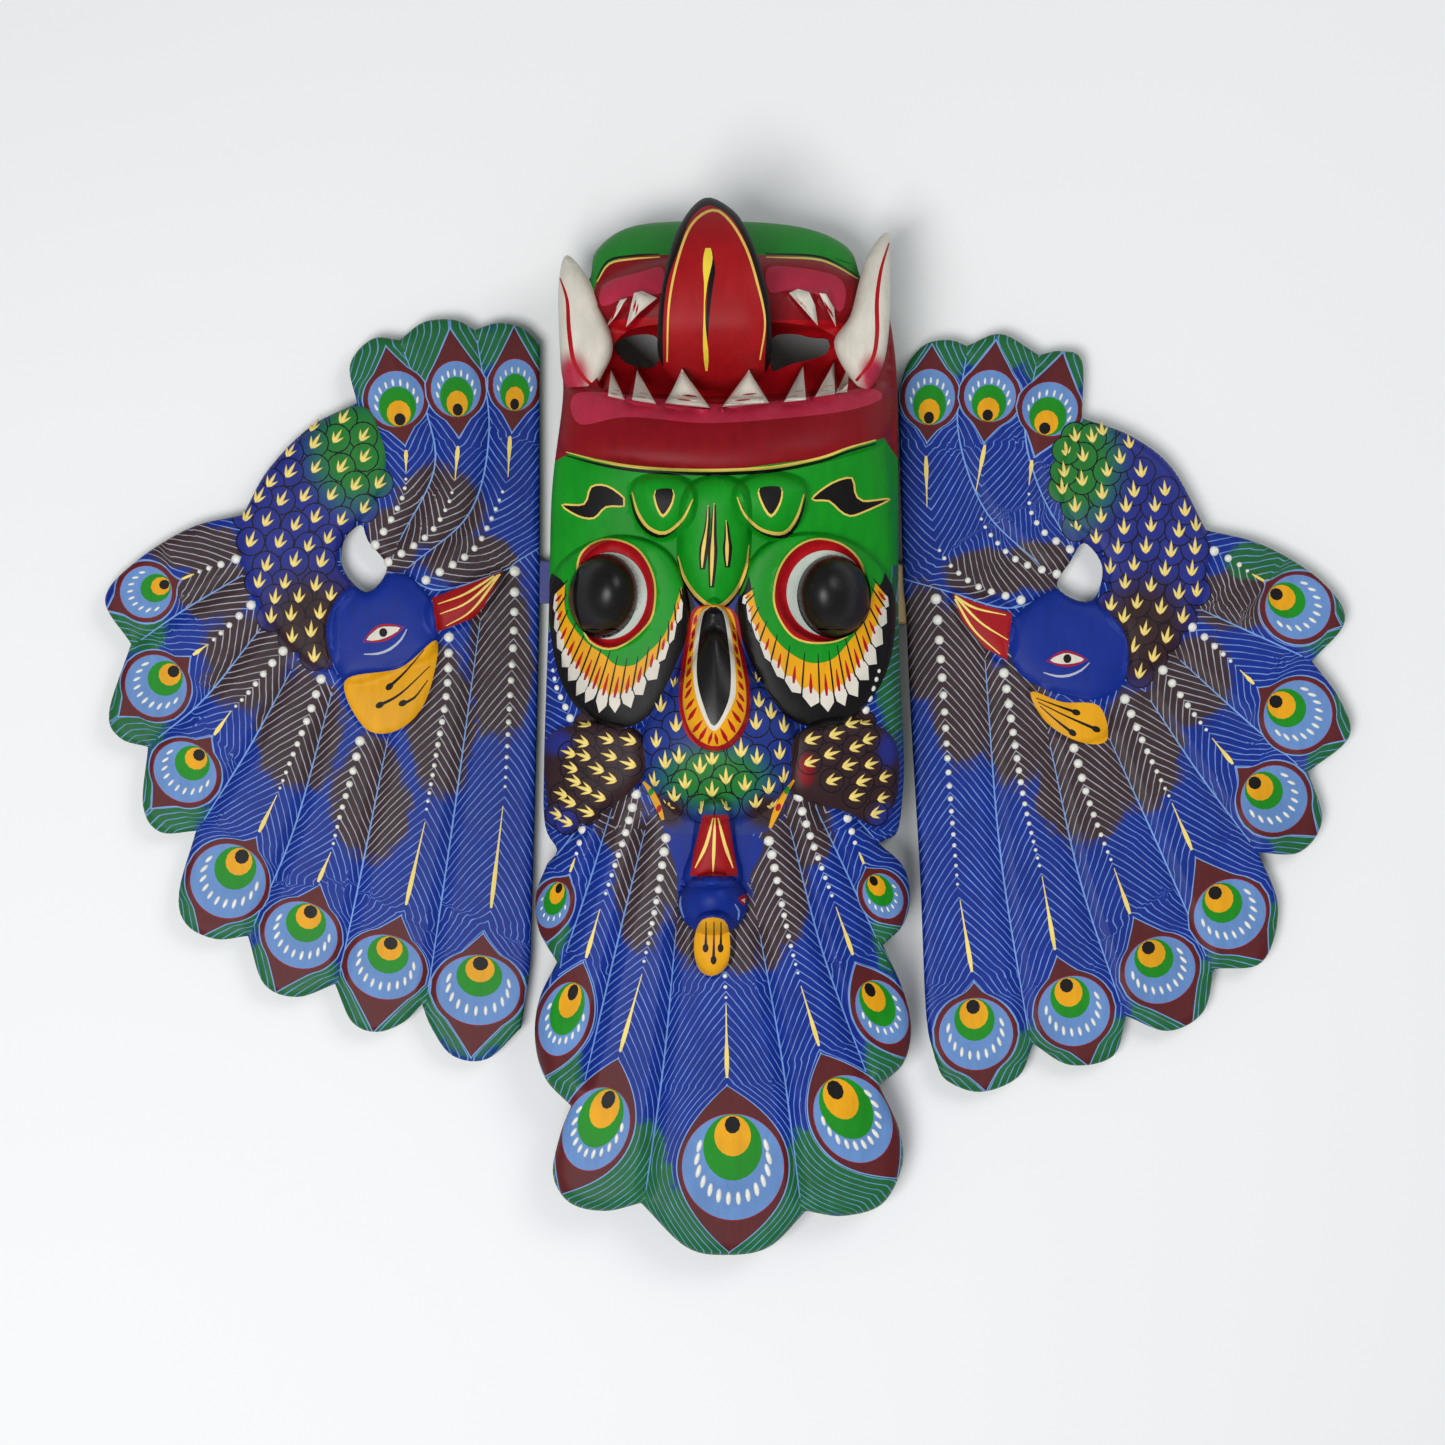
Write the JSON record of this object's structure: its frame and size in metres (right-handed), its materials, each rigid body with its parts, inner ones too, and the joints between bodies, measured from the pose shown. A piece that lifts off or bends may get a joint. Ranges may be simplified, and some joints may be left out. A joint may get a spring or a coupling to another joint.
{
  "type": "carved peacock demon mask",
  "caption": "Carved painted wooden demon mask with a bared-teeth mouth, hanging tongue and peacock-feather crown, and a flat peacock wing plugged into each side.",
  "frame": {"origin": "middle of the box of all three pieces, on the surface that the mask lies on", "axes": "+Z out of the face, which looks up; +Y from the chin to the tip of the feather crown; X from the right wing to the left wing"},
  "size_m": [0.5501, 0.4568, 0.0957],
  "materials": {
    "painted_green_wood": "brush-painted, satin",
    "painted_blue_wood": "brush-painted, satin"
  },
  "bodies": {
    "root": {"mask": "painted_green_wood", "left_wing": "painted_blue_wood", "right_wing": "painted_blue_wood"}
  },
  "joints": []
}
